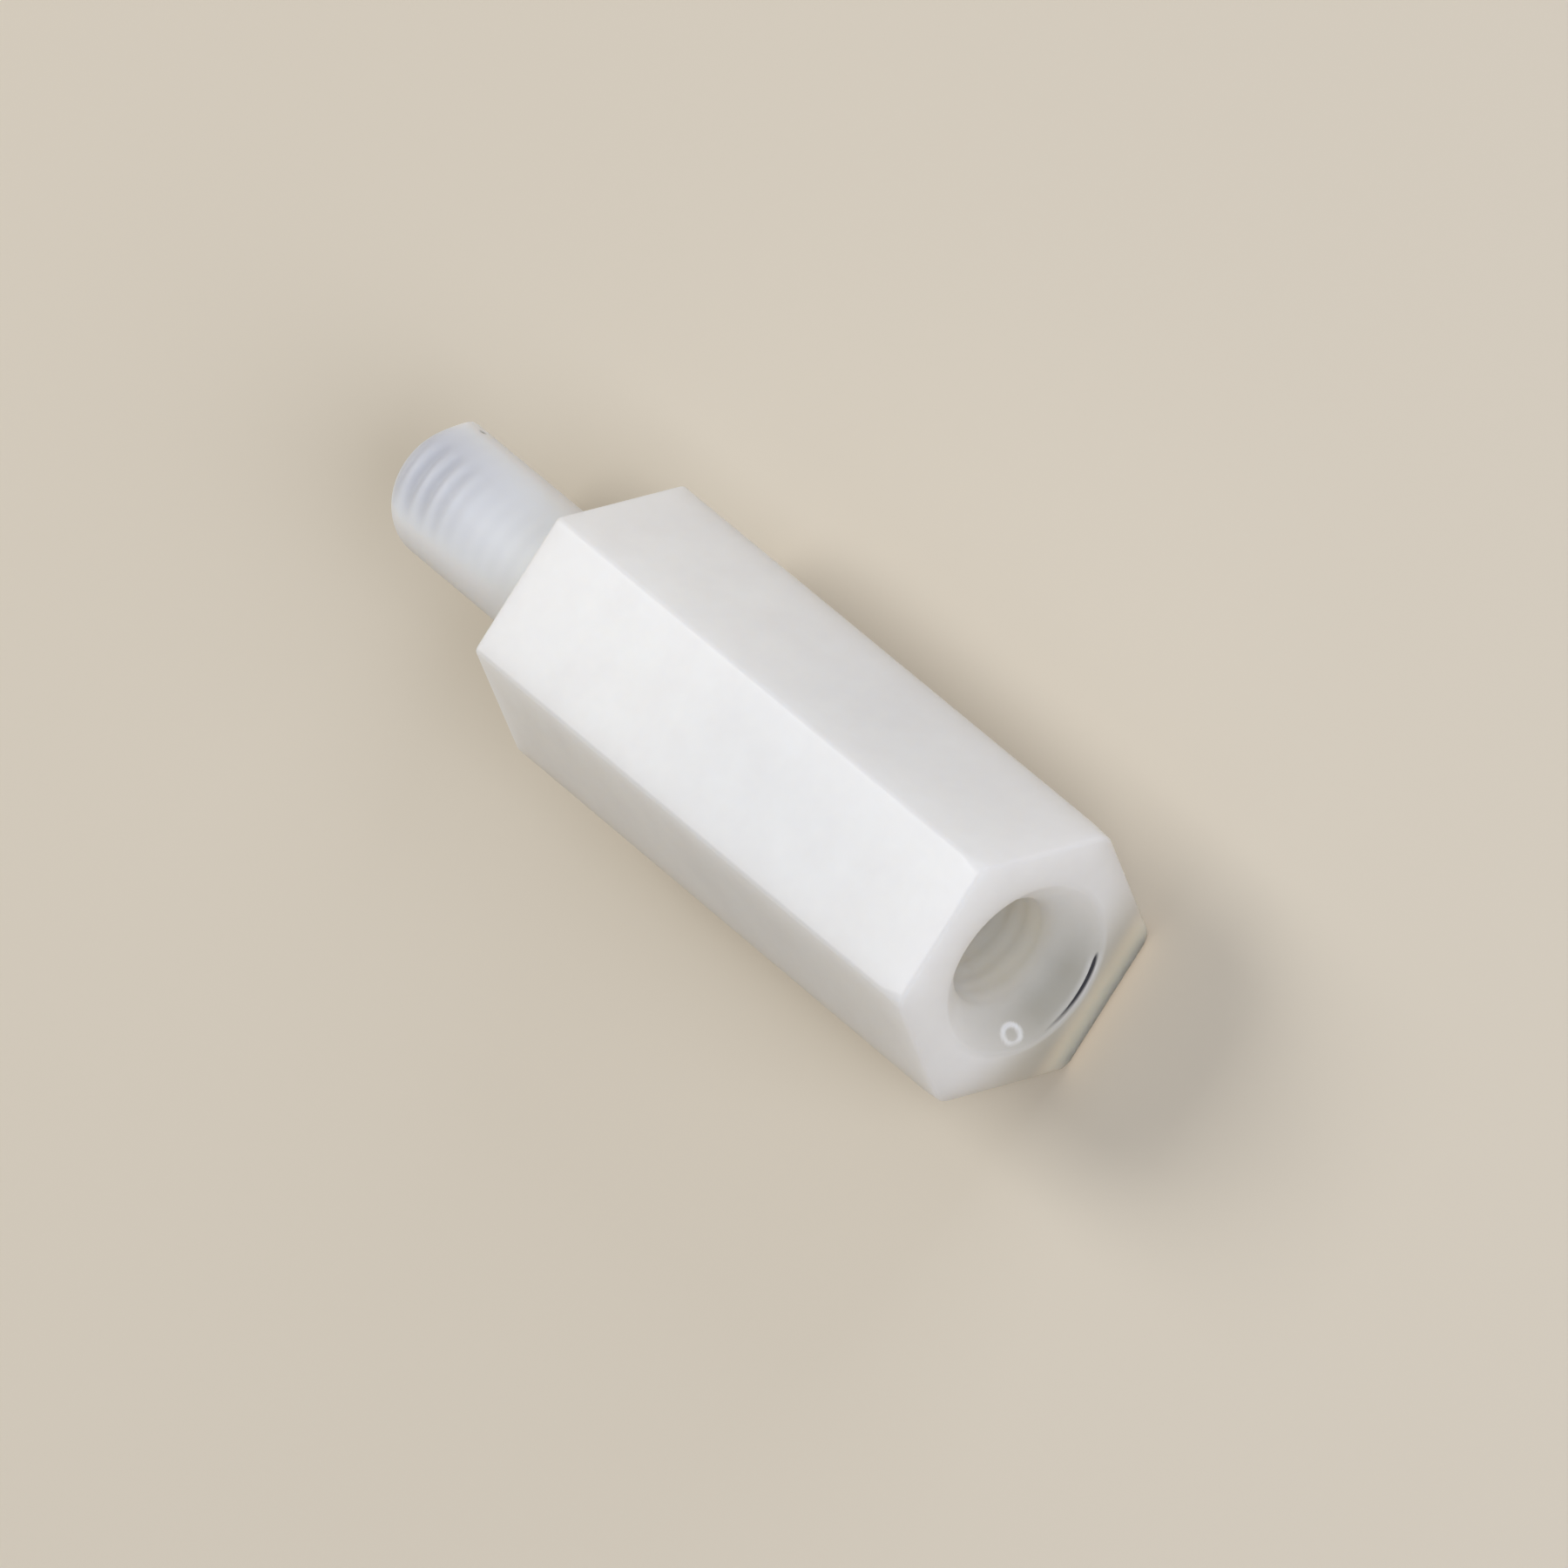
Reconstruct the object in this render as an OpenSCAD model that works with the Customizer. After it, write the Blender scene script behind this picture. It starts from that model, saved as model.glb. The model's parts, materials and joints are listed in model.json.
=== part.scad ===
// Hex standoff, moulded in one piece: a hexagonal body with a threaded stud at one end and a blind
// tapped hole at the other. Both threads are drawn at their crests, as a plain stud and a plain hole.
// The axis runs along X. The origin is the centre of the stud's shoulder, and +X points to the tapped
// end. The body lies on one of its flats, with +Z up. All sizes are in millimetres.

/* [Hex body] */
// Width of the hexagon across its flats
across_flats = 5.8; // [5.4:0.1:8]
// Length of the hexagonal body, from the shoulder to the tapped end
body_length = 15; // [12:0.5:40]
// Rounding of the six long edges
long_edge_radius = 0.15; // [0.05:0.05:0.5]
// Rounding of the edges round the tapped end
tapped_edge_radius = 0.1; // [0.05:0.05:0.4]
// Rounding of the edges round the shoulder
shoulder_edge_radius = 0.1; // [0.05:0.05:0.4]

/* [Stud] */
// Diameter of the stud over its thread crests
stud_diameter = 3; // [2:0.1:4]
// Length of the stud, from the shoulder to its tip
stud_length = 6; // [3:0.5:15]
// Rounding of the edge round the stud's tip
stud_tip_radius = 0.6; // [0.1:0.05:0.8]

/* [Tapped hole] */
// Diameter of the hole inside its thread crests
hole_diameter = 2.5; // [1.6:0.1:3.3]
// Depth of the hole at its full diameter, from the end face
hole_depth = 8; // [4:0.5:10]
// Included angle of the cone at the bottom of the hole
hole_bottom_angle = 118; // [90:2:150]
// Diameter of the countersunk mouth where its cone meets the end face
mouth_diameter = 4; // [3.5:0.1:4.4]
// Included angle of the countersunk mouth
mouth_angle = 90; // [60:5:120]
// Rounding of the rim round the mouth
mouth_rim_radius = 0.1; // [0.05:0.05:0.2]
// Rounding where the countersunk mouth runs into the hole
throat_radius = 0.8; // [0.1:0.05:1.2]

/* [Hidden] */
$fn = 96;
edge_count = 6;
edge_angle = 360 / edge_count;
flat_height = across_flats / 2;
// From the axis to a sharp corner of the hexagon, and to the centre of a long edge's rounding
corner_reach = flat_height / cos(edge_angle / 2);
long_edge_centre = (flat_height - long_edge_radius) / cos(edge_angle / 2);
stud_radius = stud_diameter / 2;
// How far the stud reaches into the body, where the two are one
stud_root = 1;
hole_radius = hole_diameter / 2;
hole_tip_depth = hole_depth + hole_radius / tan(hole_bottom_angle / 2);
mouth_radius = mouth_diameter / 2;
mouth_slope = mouth_angle / 2;
mouth_depth = (mouth_radius - hole_radius) / tan(mouth_slope);
// From the sharp rim to where its rounding begins, along the cone and along the end face
mouth_rim_reach = mouth_rim_radius * tan((90 - mouth_slope) / 2);
// From the sharp edge between the cone and the hole to where its rounding begins, along each of them
throat_reach = throat_radius * tan(mouth_slope / 2);
// How far a cut reaches out past the surface that it starts from
cut_past = 0.5;
// How far a rounding laps over the faces that it runs into
round_lap = 0.0001;

// Outline of a cut that rounds an edge, about the rounding's centre, with the edge towards +X.
// The two faces that meet at the edge face `turn` degrees apart.
module rounding_outline(radius, turn) {
    reach = radius + cut_past;
    difference() {
        polygon([
            [0, 0],
            reach * [cos(turn / 2), -sin(turn / 2)],
            [reach / cos(turn / 2), 0],
            reach * [cos(turn / 2), sin(turn / 2)]
        ]);
        circle(radius + round_lap);
    }
}

// Section of the body, with its six corners rounded
module hex_section() {
    difference() {
        circle(corner_reach, $fn = edge_count);
        for (i = [0 : edge_count - 1])
            rotate(i * edge_angle)
                translate([long_edge_centre, 0])
                    rounding_outline(long_edge_radius, edge_angle);
    }
}

// Cut that rounds the end edge of the upper flat at `x`, where the end face looks towards `side`, 1 or -1
module end_edge_cut(x, side, radius) {
    translate([x - side * radius, 0, flat_height - radius])
        rotate([90, 0, 0])
            rotate(90 - side * 45)
                linear_extrude(across_flats, center = true)
                    rounding_outline(radius, 90);
}

// Hexagonal body with all its edges rounded
module hex_body() {
    difference() {
        rotate([90, 0, 90])
            linear_extrude(body_length)
                hex_section();
        for (i = [0 : edge_count - 1])
            rotate([i * edge_angle, 0, 0]) {
                end_edge_cut(body_length, 1, tapped_edge_radius);
                end_edge_cut(0, -1, shoulder_edge_radius);
            }
    }
}

// Stud along +Z, from inside the body to its tip
module stud() {
    tip_centre = [stud_radius - stud_tip_radius, stud_length - stud_tip_radius];
    rotate_extrude() {
        translate([0, -stud_root])
            square([stud_radius, stud_root + tip_centre.y]);
        square([tip_centre.x, stud_length]);
        translate(tip_centre)
            intersection() {
                circle(stud_tip_radius);
                square(stud_tip_radius);
            }
    }
}

// Space of the tapped hole along Z, with its mouth at the top and the end face at zero
module hole_space() {
    rim_centre = [mouth_radius + mouth_rim_reach, -mouth_rim_radius];
    rim_start = [
        mouth_radius - mouth_rim_reach * sin(mouth_slope),
        -mouth_rim_reach * cos(mouth_slope)
    ];
    throat_centre = [hole_radius + throat_radius, -mouth_depth - throat_reach];
    throat_end = [
        hole_radius + throat_reach * sin(mouth_slope),
        -mouth_depth + throat_reach * cos(mouth_slope)
    ];
    rotate_extrude()
        difference() {
            polygon([
                [0, -hole_tip_depth],
                [hole_radius, -hole_depth],
                [hole_radius, throat_centre.y],
                throat_centre,
                throat_end,
                rim_start,
                rim_centre,
                [rim_centre.x, cut_past],
                [0, cut_past]
            ]);
            translate(rim_centre)
                circle(mouth_rim_radius + round_lap);
            translate(throat_centre)
                circle(throat_radius + round_lap);
        }
}

// The whole standoff, one moulded piece
module standoff() {
    color("#e6e5e1")
        difference() {
            union() {
                hex_body();
                rotate([0, -90, 0])
                    stud();
            }
            translate([body_length, 0, 0])
                rotate([0, 90, 0])
                    hole_space();
        }
}

standoff();
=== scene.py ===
"""Hex standoff: one moulded nylon piece with its threads and finish, and the stage that it lies on."""

import json
import math

import bpy
import numpy as np
from bpy.props import FloatProperty, FloatVectorProperty, PointerProperty
from mathutils import Matrix, Vector


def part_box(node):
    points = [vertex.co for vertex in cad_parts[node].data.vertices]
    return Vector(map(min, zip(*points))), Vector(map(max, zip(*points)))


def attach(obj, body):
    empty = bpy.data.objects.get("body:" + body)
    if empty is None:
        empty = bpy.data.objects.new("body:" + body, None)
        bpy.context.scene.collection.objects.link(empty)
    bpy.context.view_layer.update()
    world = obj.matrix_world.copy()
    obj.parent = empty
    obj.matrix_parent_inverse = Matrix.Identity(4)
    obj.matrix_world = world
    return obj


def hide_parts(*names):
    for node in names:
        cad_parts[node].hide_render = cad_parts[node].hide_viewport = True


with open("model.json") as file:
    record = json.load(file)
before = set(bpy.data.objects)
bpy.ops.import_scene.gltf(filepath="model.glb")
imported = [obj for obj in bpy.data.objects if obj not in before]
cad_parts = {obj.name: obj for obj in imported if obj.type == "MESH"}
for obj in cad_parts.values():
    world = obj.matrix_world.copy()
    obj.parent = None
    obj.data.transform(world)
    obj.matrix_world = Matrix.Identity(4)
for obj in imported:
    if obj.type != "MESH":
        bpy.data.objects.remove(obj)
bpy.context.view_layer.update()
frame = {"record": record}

bl_info = {
    "name": "Hex Standoff",
    "version": (1, 0, 0),
    "blender": (4, 5, 0),
    "location": "3D View > Sidebar > Standoff",
    "description": "Makes a moulded nylon hex standoff and the stage that it lies on",
    "category": "Object",
}

MM = 0.001
NODE = "standoff"
BODY = "root"

# What the frame says: the whole part's box, the part's own corners, and its stud and hole
LOW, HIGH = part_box(NODE)
MOUNTS = {mount["name"]: mount["dims"] for mount in frame["record"]["mounts"]}
STUD_RADIUS = MOUNTS["stud"]["r_mm"] * MM
STUD_STRAIGHT = MOUNTS["stud"]["length_mm"] * MM
HOLE_RADIUS = MOUNTS["tapped_hole"]["r_mm"] * MM
HOLE_STRAIGHT = MOUNTS["tapped_hole"]["length_mm"] * MM

# How finely the skin is divided round the axis: columns on half a flat, and on a corner's rounding
CORNERS = 6
HALF_SECTOR = math.pi / CORNERS
FLAT_COLUMNS = 14
ARC_COLUMNS = 9
COLUMNS = CORNERS * (2 * FLAT_COLUMNS + ARC_COLUMNS - 1)
# How finely it is divided along the axis: rings on a rounding, and the step between rings on a thread
ROUND_RINGS = 8
TIP_RINGS = 20
BODY_RINGS = 14
STUD_STEP = 0.04 * MM
MOUTH_STEP = 0.022 * MM
HOLE_STEP = 0.055 * MM
# Distance from a rounding to the ring that keeps the face beside it flat
KEEP_FLAT = 0.02 * MM
# Where rings lie across a face, as shares of the way over it
TIP_FACE = (0.25, 0.5, 0.75, 0.95, 1)
SHOULDER_FACE = (0.02, 0.5, 0.98, 1)
END_FACE = (0.03, 0.35, 0.7, 1)
HOLE_CONE = (0.98, 0.7, 0.4, 0.15)
# Fine rings on the end face, just outside the mouth's rim
RIM_RINGS = 6

# Threads: from a groove's middle to its wall's foot and top, in pitches
GROOVE_WALL = (0.04, 0.46)
# Sine of the turn from the mould's seam to where the thread starts to grow
SEAM_CLEAR = 0.72
# Height above the hole's bottom where its thread starts, and where it is whole
HOLE_RUN_OUT = (0.5 * MM, 1.0 * MM)
# How far inside the hole's crests a place still counts as its wall
WALL_SKIN = 0.01 * MM
# Shares of the stud's radius between which the shade of a groove comes in
SHADED_SIDE = (0.8, 0.95)
# Slit: the reach of its lips, where the painted shade of the mouth gives way, in slit widths, and how far
# it gives way there
LIP_REACH = 1.4
LIP_CLEAR = 0.5
# Ring mark: how far it reaches in radii, and how deep down the countersink it starts and is whole
MARK_REACH = 2.5
MARK_DEPTH = (0.05 * MM, 0.12 * MM)
# Its line: the share that is flat on top, its inner and outer side in radii, and how high each side is
MARK_FLAT = 0.3
MARK_SIDES = (-0.7, 0.6)
MARK_HEIGHTS = (1.0, 0.75)
# Painted shade in the mouth: the share of its spread that is whole, and its fading edge outside the mouth
MOUTH_SHADE_WHOLE = 0.2
MOUTH_SHADE_EDGE = 0.15 * MM
# Painted shade in the hole: the depth at which its warm white is whole, and its share from the middle down
# to the bottom
HOLE_SHADE_DEPTH = 1.2 * MM
HOLE_SHADE_FALL = (-0.3 * MM, -1.1 * MM)
HOLE_SHADE_SHARE = (0.2, 1.0)

# Stage: the floor's width in metres, the lamps' width and their places from the part's middle in mm
FLOOR_WIDTH = 4.0
LAMP_SIZE = 160 * MM
LAMP_PLACES = {"back": (-200, 0, 220), "front": (250, 50, 150), "side": (0, 280, 100)}
# The camera shows what lies from its distance over this to its distance times this
CLIP_RANGE = 100

# The values that a noise texture mostly gives, a smooth blend, and a Mix node's colour sockets
NOISE_RANGE = (0.3, 0.7)
SMOOTH = {"interpolation_type": "SMOOTHSTEP"}
MIX_SHARE, MIX_UNDER, MIX_OVER, MIXED = 0, 6, 7, 2


def linear(code):
    """An sRGB hex colour as linear red, green and blue."""
    parts = [int(code[i : i + 2], 16) / 255 for i in (1, 3, 5)]
    return tuple(c / 12.92 if c <= 0.04045 else ((c + 0.055) / 1.055) ** 2.4 for c in parts)


def length_value(name, description, default):
    """A length that a user can change, in metres."""
    return FloatProperty(
        name=name, description=description, default=default, min=0.0, precision=5, unit="LENGTH"
    )


def angle_value(name, description, degrees):
    """An angle that a user can change."""
    return FloatProperty(name=name, description=description, default=math.radians(degrees), unit="ROTATION")


def share_value(name, description, default):
    """A plain number from 0 to 1 that a user can change."""
    return FloatProperty(
        name=name, description=description, default=default, min=0.0, max=1.0, subtype="FACTOR"
    )


def power_value(name, description, default):
    """A lamp's power that a user can change."""
    return FloatProperty(name=name, description=description, default=default, min=0.0, unit="POWER")


def colour_value(name, description, code):
    """A colour that a user can change."""
    return FloatVectorProperty(
        name=name, description=description, default=linear(code), min=0.0, max=1.0, subtype="COLOR"
    )


class StandoffSizes(bpy.types.PropertyGroup):
    """Sizes of the standoff and of the fine form of its surface"""

    across_flats: length_value("Across Flats", "Width of the hexagon across its flats", HIGH.z - LOW.z)
    body_length: length_value("Body Length", "From the shoulder to the tapped end", HIGH.x)
    long_edge: length_value("Long Edge", "Rounding of the six long edges", 0.15 * MM)
    tapped_edge: length_value("Tapped Edge", "Rounding of the edges round the tapped end", 0.1 * MM)
    shoulder_edge: length_value("Shoulder Edge", "Rounding of the edges round the shoulder", 0.1 * MM)
    end_corner: length_value("End Corner", "Rounding of the body's corners at the tapped end", 0.38 * MM)
    corner_run: length_value("Corner Run", "Length in which a corner's rounding grows to that", 0.6 * MM)

    stud_radius: length_value("Stud Radius", "Over the thread's crests", STUD_RADIUS)
    stud_length: length_value("Stud Length", "From the shoulder to the tip", -LOW.x)
    tip_edge: length_value("Tip Edge", "Rounding round the stud's tip", -LOW.x - STUD_STRAIGHT)
    far_edge: length_value("Far Edge", "Rounding of the tip on the side away from the nub", 0.85 * MM)
    nub_edge: length_value("Nub Edge", "Rounding at the sharp nub on the tip", 0.03 * MM)
    nub_turn: angle_value("Nub Turn", "Place of the nub round the axis", -12)
    nub_spread: angle_value("Nub Spread", "How far round the nub reaches", 26)
    pit_back: length_value("Pit Back", "From the tip to the small pit beside the nub", 0.6 * MM)
    pit_turn: angle_value("Pit Turn", "Place of the pit round the axis", 5)
    pit_radius: length_value("Pit Radius", "Radius of the pit", 0.13 * MM)
    pit_depth: length_value("Pit Depth", "Depth of the pit", 0.025 * MM)
    root_fillet: length_value("Root Fillet", "Fillet where the stud meets the shoulder", 0.06 * MM)

    hole_radius: length_value("Hole Radius", "Inside the thread's crests", HOLE_RADIUS)
    hole_straight: length_value("Hole Straight", "Length of the hole at its full radius", HOLE_STRAIGHT)
    hole_bottom: angle_value("Hole Bottom", "Included angle of the cone at the hole's bottom", 118)
    mouth_radius: length_value("Mouth Radius", "Where the countersink meets the end face", 2.0 * MM)
    rim_edge: length_value("Rim Edge", "Rounding round the mouth", 0.1 * MM)
    mouth_slope: angle_value("Mouth Slope", "Half the included angle of the countersink", 45)
    throat_edge: length_value("Throat Edge", "Rounding where the countersink runs into the hole", 0.8 * MM)

    pitch: length_value("Pitch", "Step of both threads in one turn", 0.5 * MM)
    thread_start: share_value("Thread Start", "Where in a turn the stud's groove begins", 0.87)
    stud_groove: length_value("Stud Groove", "Depth of the stud's thread near its tip", 0.06 * MM)
    fade_from: length_value("Fade From", "From the shoulder to where the stud's thread is whole", 4.8 * MM)
    fade_to: length_value("Fade To", "From the shoulder to where it is at its faintest", 3.1 * MM)
    faintest: share_value("Faintest", "Share of the thread that is left there", 0.12)
    seam_turn: angle_value("Seam Turn", "Place of the mould's seam, where the thread is faint", -8)
    seam_share: share_value("Seam Share", "Share of the thread that is left at the seam", 0.08)
    hole_groove: length_value("Hole Groove", "Depth of the hole's thread", 0.036 * MM)
    thread_soft: length_value("Thread Softness", "Blend where a groove runs out", 0.03 * MM)

    slit_radius: length_value("Slit Radius", "Middle of the dark slit at the mouth's rim", 1.97 * MM)
    slit_width: length_value("Slit Width", "Widest part of the slit", 0.11 * MM)
    slit_depth: length_value("Slit Depth", "Deepest part of the slit", 0.1 * MM)
    slit_from: angle_value("Slit From", "Where the slit opens, round the axis", -60)
    slit_full: angle_value("Slit Full", "Where the slit is widest", -72)
    slit_to: angle_value("Slit To", "Where the slit runs out", -130)

    mark_turn: angle_value("Mark Turn", "Place of the ring mark round the axis", -145)
    mark_in: share_value("Mark In", "Place of the ring mark down the countersink", 0.31)
    mark_radius: length_value("Mark Radius", "Radius of the ring mark", 0.21 * MM)
    mark_line: length_value("Mark Line", "Width of the ring's line", 0.17 * MM)
    mark_height: length_value("Mark Height", "How far the ring stands proud", 0.03 * MM)

    mouth_shade_turn: angle_value("Mouth Shade Turn", "Middle of the grey smudge in the mouth, round the axis", -100)
    mouth_shade_spread: angle_value("Mouth Shade Spread", "How far the smudge reaches round to each side", 105)
    mouth_shade_full: length_value("Mouth Shade Full", "How far in from the end the smudge is whole", 0.35 * MM)
    mouth_shade_reach: length_value("Mouth Shade Reach", "How far in from the end the smudge fades out", 1.3 * MM)
    warm_shade_lean: angle_value("Warm Shade Lean", "Lean of the tan stain's upper edge", 8)
    warm_shade_from: length_value("Warm Shade From", "How far below the axis the stain starts", 0.3 * MM)
    warm_shade_full: length_value("Warm Shade Full", "How far below the axis the stain is whole", 2.2 * MM)
    warm_shade_reach: length_value("Warm Shade Reach", "How far in from the end the stain fades out", 0.6 * MM)


class StandoffFinish(bpy.types.PropertyGroup):
    """Colours of the moulded nylon, and of the light and shade painted on it"""

    nylon: colour_value("Nylon", "Natural white of the body", "#f4f4f1")
    cloud: colour_value("Cloud", "Duller white of the faint clouds in the body", "#edecea")
    # Painted light: the stud's cooler, brighter white stands in for the light that passes through the thin
    # stud
    stud: colour_value("Stud", "Cooler white of the thin stud", "#fafdff")
    # Painted shade: the grey along the stud's top stands in for the light lost through the thin stud
    thin: colour_value("Thin", "Grey along the stud's top, where light goes through it", "#c4c6ce")
    groove: colour_value("Groove", "Shade down in the thread's grooves", "#b9b9be")
    # Painted shade: the slit is cut in the skin, and the dark line painted in it stands in for the shade
    # down in it
    slit: colour_value("Slit", "Dark line in the slit at the mouth's rim", "#34353f")
    pit: colour_value("Pit", "Grey shade in the pit beside the nub", "#979791")
    # Painted highlight: the ring mark stands proud in the skin, and its line's brighter white stands in for
    # the glint on it
    mark: colour_value("Mark", "Bright line of the ring mark", "#fbfbf8")
    # Painted shade: grey painted on the lower side of the mouth, where the hole's upper wall keeps the
    # light off
    painted_mouth_shade: colour_value("Painted Mouth Shade", "Grey smudge on the lower side of the mouth", "#b8b5ab")
    # Painted shade with warm floor light: tan painted low on the tapped end, near the floor
    painted_warm_shade: colour_value("Painted Warm Shade", "Tan stain on the lower part of the tapped end", "#bbb6a9")
    # Painted light: warm floor light painted along the lowest edge
    painted_bounce_light: colour_value("Painted Bounce Light", "Warm white of the stain along the lowest edge", "#ffebc9")
    # Painted shade: a darker, warmer white painted down in the hole, for the shade and warm light in it
    painted_hole_shade: colour_value("Painted Hole Shade", "Warmer white down in the hole", "#efe8da")


class StandoffStage(bpy.types.PropertyGroup):
    """Floor, light and camera"""

    floor: colour_value("Floor", "Pale warm floor", "#e2d8c6")
    bounce: colour_value("Bounce", "Colour of the light that the floor throws back", "#b4a58b")
    backdrop: colour_value("Backdrop", "Pale background behind the floor", "#e6e1d8")
    sky: colour_value("Sky", "Soft light from all round", "#fffaf4")
    cool: colour_value("Cool", "Light of the lamps at the front and the right", "#e8efff")
    sky_level: share_value("Sky Level", "Strength of the light from all round", 0.3)
    back_power: power_value("Back Power", "High lamp behind the stud", 0.36)
    front_power: power_value("Front Power", "Lamp at the front", 0.5)
    side_power: power_value("Side Power", "Low lamp on the right", 0.14)

    target: FloatVectorProperty(
        name="Target",
        description="Point in the middle of the picture",
        default=(5.974 * MM, -0.433 * MM, -0.950 * MM),
        precision=5,
        subtype="TRANSLATION",
        unit="LENGTH",
    )
    azimuth: angle_value("Azimuth", "Turn of the camera round the part", 104.05)
    elevation: angle_value("Elevation", "Height of the camera above the floor", 49.15)
    roll: angle_value("Roll", "Lean of the upright to the left in the picture", 68.53)
    distance: length_value("Distance", "From the camera to the target", 526 * MM)
    view_width: length_value("View Width", "Width that the picture takes in at the target", 32.97 * MM)


def add(tree, kind, *feeds, named=None, **settings):
    """Adds a node, sets its properties, feeds its inputs in order or by name, and returns its outputs."""
    node = tree.nodes.new(kind)
    node.location.x = 180 * len(tree.nodes)
    for key, value in settings.items():
        setattr(node, key, value)
    for key, feed in [*enumerate(feeds), *(named or {}).items()]:
        if isinstance(feed, bpy.types.NodeSocket):
            tree.links.new(feed, node.inputs[key])
        elif feed is not None:
            node.inputs[key].default_value = feed
    return node.outputs


def column_angles():
    """Angle round the axis of each column, where all the columns are evenly spaced."""
    return -HALF_SECTOR + 2 * math.pi * np.arange(COLUMNS) / COLUMNS


def circle_outline(radius):
    """Points of a round section, one for each column. The radius is one number, or one for each column."""
    angle = column_angles()
    return np.reshape(radius, (-1, 1)) * np.column_stack([np.cos(angle), np.sin(angle)])


def hex_outline(apothem, corner):
    """Points of a hexagon with rounded corners, one for each column, closer together beside a corner."""
    share = np.arange(FLAT_COLUMNS) / FLAT_COLUMNS
    run = share * (2 - share) * (apothem - corner) * math.tan(HALF_SECTOR)
    turn = np.linspace(-HALF_SECTOR, HALF_SECTOR, ARC_COLUMNS)
    cos, sin = math.cos(HALF_SECTOR), math.sin(HALF_SECTOR)
    arrive = np.column_stack([apothem * cos + run * sin, run * cos - apothem * sin])
    reach = (apothem - corner) / cos
    arc = np.column_stack([reach + corner * np.cos(turn), corner * np.sin(turn)])
    leave = arrive[:0:-1] * (1, -1)
    sector = np.vstack([arrive, arc, leave])
    turned = []
    for index in range(CORNERS):
        angle = 2 * HALF_SECTOR * index
        spin = np.array([[math.cos(angle), -math.sin(angle)], [math.sin(angle), math.cos(angle)]])
        turned.append(sector @ spin.T)
    return np.vstack(turned)


def steps(start, end, step):
    """Evenly spaced places from start to end, about a step apart, without the first."""
    count = max(1, round(abs(end - start) / step))
    return np.linspace(start, end, count + 1)[1:]


def quarter(count):
    """Angles of a quarter turn, without the first."""
    return np.linspace(0, math.pi / 2, count + 1)[1:]


def tip_edges(size):
    """Rounding round the stud's tip at each column: sharp at the nub, and growing towards the far side."""
    away = (column_angles() - size.nub_turn + math.pi) % (2 * math.pi) - math.pi
    even = size.tip_edge + (size.far_edge - size.tip_edge) * ((1 - np.cos(away)) / 2) ** 2
    return even + (size.nub_edge - even) * np.exp(-((away / size.nub_spread) ** 2))


def stud_rings(size):
    """Rings of the stud, from its tip to the fillet at its shoulder."""
    tip = -size.stud_length
    edge = tip_edges(size)
    face = size.stud_radius - edge
    for share in TIP_FACE:
        yield tip, circle_outline(share * face)
    for turn in quarter(TIP_RINGS):
        yield tip + edge * (1 - math.cos(turn)), circle_outline(face + edge * math.sin(turn))
    for share in steps(0, 1, STUD_STEP / size.stud_length):
        yield (1 - share) * (tip + edge) - share * size.root_fillet, circle_outline(size.stud_radius)
    for turn in quarter(ROUND_RINGS):
        radius = size.stud_radius + size.root_fillet * (1 - math.cos(turn))
        yield size.root_fillet * (math.sin(turn) - 1), circle_outline(radius)


def body_rings(size):
    """Rings of the hexagonal body, from the shoulder's face to the end face."""
    apothem = size.across_flats / 2
    shoulder, tapped = size.shoulder_edge, size.tapped_edge

    root = circle_outline(size.stud_radius + size.root_fillet)
    edge = hex_outline(apothem - shoulder, size.long_edge)
    for share in SHOULDER_FACE:
        yield 0.0, root + share * (edge - root)
    for turn in quarter(ROUND_RINGS):
        outline = hex_outline(apothem - shoulder * (1 - math.sin(turn)), size.long_edge)
        yield shoulder * (1 - math.cos(turn)), outline
    last = size.body_length - tapped - size.corner_run
    for x in np.linspace(shoulder + KEEP_FLAT, last, BODY_RINGS):
        yield x, hex_outline(apothem, size.long_edge)
    for share in steps(0, 1, 1 / ROUND_RINGS):
        growth = share * share * (3 - 2 * share)
        corner = size.long_edge + growth * (size.end_corner - size.long_edge)
        yield last + share * size.corner_run, hex_outline(apothem, corner)
    for turn in quarter(ROUND_RINGS):
        outline = hex_outline(apothem - tapped * (1 - math.cos(turn)), size.end_corner)
        yield size.body_length - tapped * (1 - math.sin(turn)), outline


def mouth_depth(size):
    """Depth of the countersink, to where its cone would meet the hole."""
    return (size.mouth_radius - size.hole_radius) / math.tan(size.mouth_slope)


def hole_top(size):
    """Place along the axis of the top of the straight hole, below its rounding."""
    return size.body_length - mouth_depth(size) - size.throat_edge * math.tan(size.mouth_slope / 2)


def hole_bottom(size):
    """Place along the axis of the bottom of the straight hole."""
    return hole_top(size) - size.hole_straight


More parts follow.
